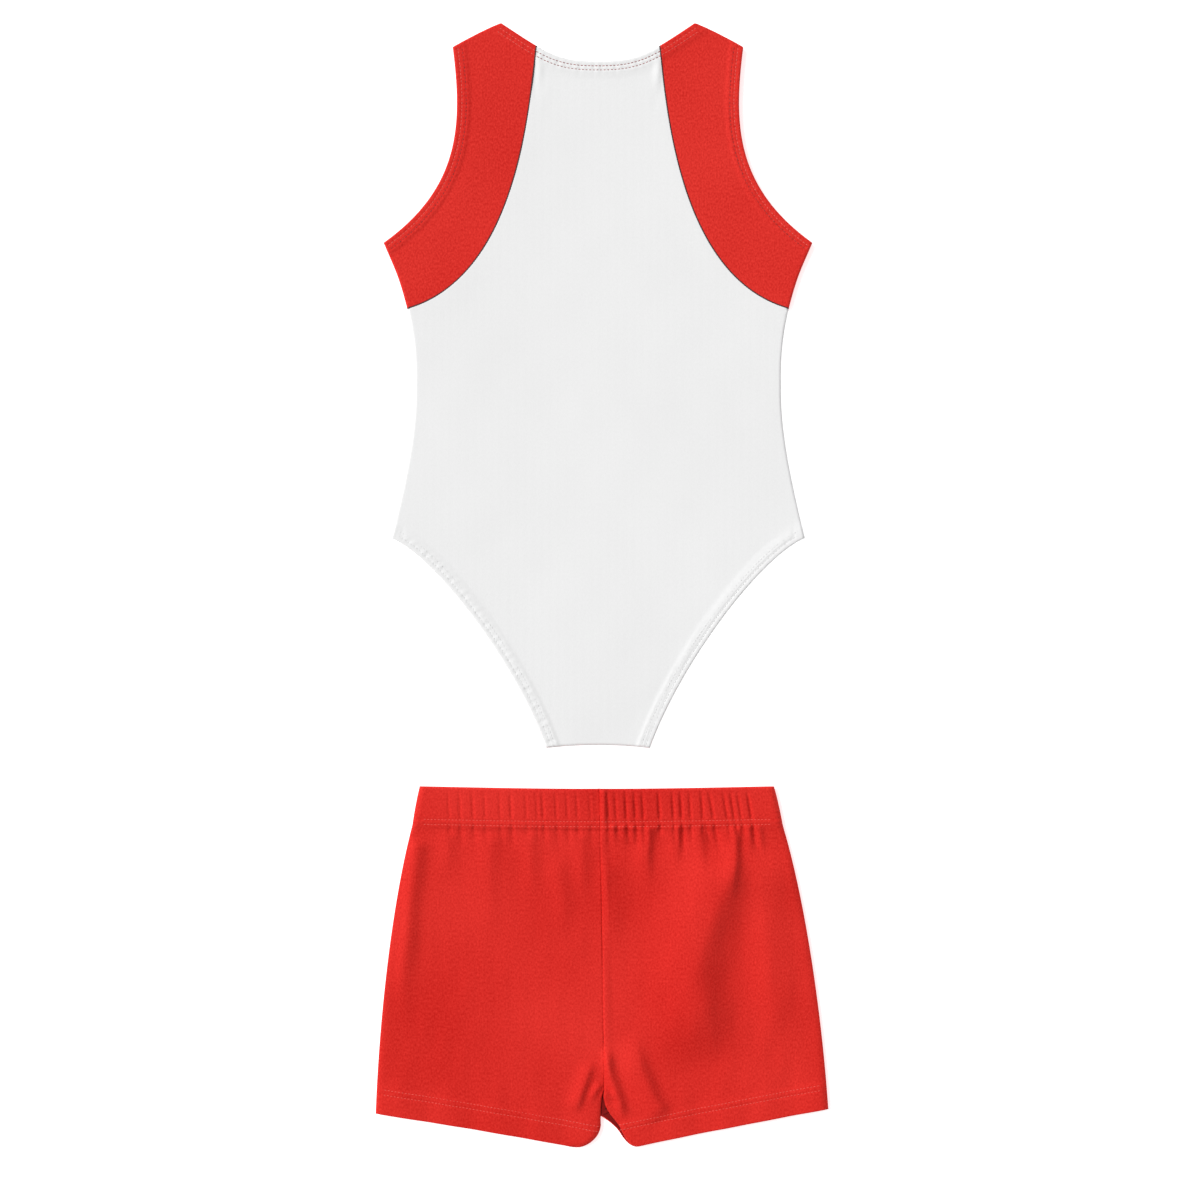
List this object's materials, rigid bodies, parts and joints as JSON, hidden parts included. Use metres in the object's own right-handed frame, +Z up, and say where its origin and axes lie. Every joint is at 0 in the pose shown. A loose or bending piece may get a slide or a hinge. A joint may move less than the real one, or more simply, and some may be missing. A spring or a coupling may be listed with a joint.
{
  "type": "cheer uniform",
  "caption": "Two-piece cheer uniform lying flat, back up: a sleeveless white leotard with red shoulder yokes and a pair of short red briefs with a gathered elastic waistband.",
  "frame": {"origin": "on the surface the garments lie on, under the centre of the pair", "axes": "+Y towards the neck of the leotard, +X towards the wearer's right, +Z up out of the backs of the garments"},
  "size_m": [0.339, 0.8414, 0.0073],
  "materials": {
    "white_knit": "matte white double-faced sports knit",
    "red_knit": "soft matte red sports knit with a fine mottled grain",
    "lining": "thin off-white lining knit",
    "elastic": "white braided elastic",
    "stitch_thread": "dull red polyester thread",
    "white_thread": "white polyester thread",
    "red_thread": "red polyester thread",
    "seam_thread": "dark red overlock thread"
  },
  "bodies": {
    "leotard_lower": {"back_panel_lower": "white_knit", "front_panel_lower": "white_knit", "front_lining_lower": "lining", "crotch_gusset": "lining", "leg_elastic_left": "elastic", "leg_elastic_right": "elastic", "leg_coverstitch_left": "white_thread", "leg_coverstitch_right": "white_thread", "side_seam_lower_left": "seam_thread", "side_seam_lower_right": "seam_thread", "crotch_seam": "seam_thread"},
    "leotard_upper": {"back_panel_upper": "white_knit", "front_panel_upper": "white_knit", "back_yoke_left": "red_knit", "back_yoke_right": "red_knit", "front_yoke_left": "red_knit", "front_yoke_right": "red_knit", "front_lining_upper": "lining", "neck_elastic": "elastic", "armhole_elastic_left": "elastic", "armhole_elastic_right": "elastic", "neck_coverstitch": "stitch_thread", "armhole_coverstitch_left": "stitch_thread", "armhole_coverstitch_right": "stitch_thread", "shoulder_seam_left": "seam_thread", "shoulder_seam_right": "seam_thread", "side_seam_upper_left": "seam_thread", "side_seam_upper_right": "seam_thread", "yoke_seam_back_left": "seam_thread", "yoke_seam_back_right": "seam_thread", "yoke_seam_front_left": "seam_thread", "yoke_seam_front_right": "seam_thread"},
    "shorts_left": {"shorts_back_left": "red_knit", "shorts_front_left": "red_knit", "waist_elastic_left": "elastic", "waist_coverstitch_left": "red_thread", "leg_hem_coverstitch_left": "red_thread", "shorts_side_seam_left": "red_thread", "inseam_left": "red_thread"},
    "shorts_right": {"shorts_back_right": "red_knit", "shorts_front_right": "red_knit", "waist_elastic_right": "elastic", "waist_coverstitch_right": "red_thread", "leg_hem_coverstitch_right": "red_thread", "shorts_side_seam_right": "red_thread", "inseam_right": "red_thread", "centre_seam_back": "red_thread", "centre_seam_front": "red_thread"}
  },
  "joints": [
    {"name": "leotard_waist_fold", "type": "hinge", "parent": "leotard_lower", "child": "leotard_upper", "pos_m": [0, 0.14975, 0.009], "axis": [1, 0, 0], "range_deg": [0, 179.5]},
    {"name": "shorts_slide", "type": "slide", "parent": "leotard_lower", "child": "shorts_left", "axis": [0, -1, 0], "range_m": [0, 0.3]},
    {"name": "shorts_centre_fold", "type": "hinge", "parent": "shorts_left", "child": "shorts_right", "pos_m": [0, -0.28575, 0.012], "axis": [0, -1, 0], "range_deg": [0, 179.5]}
  ]
}
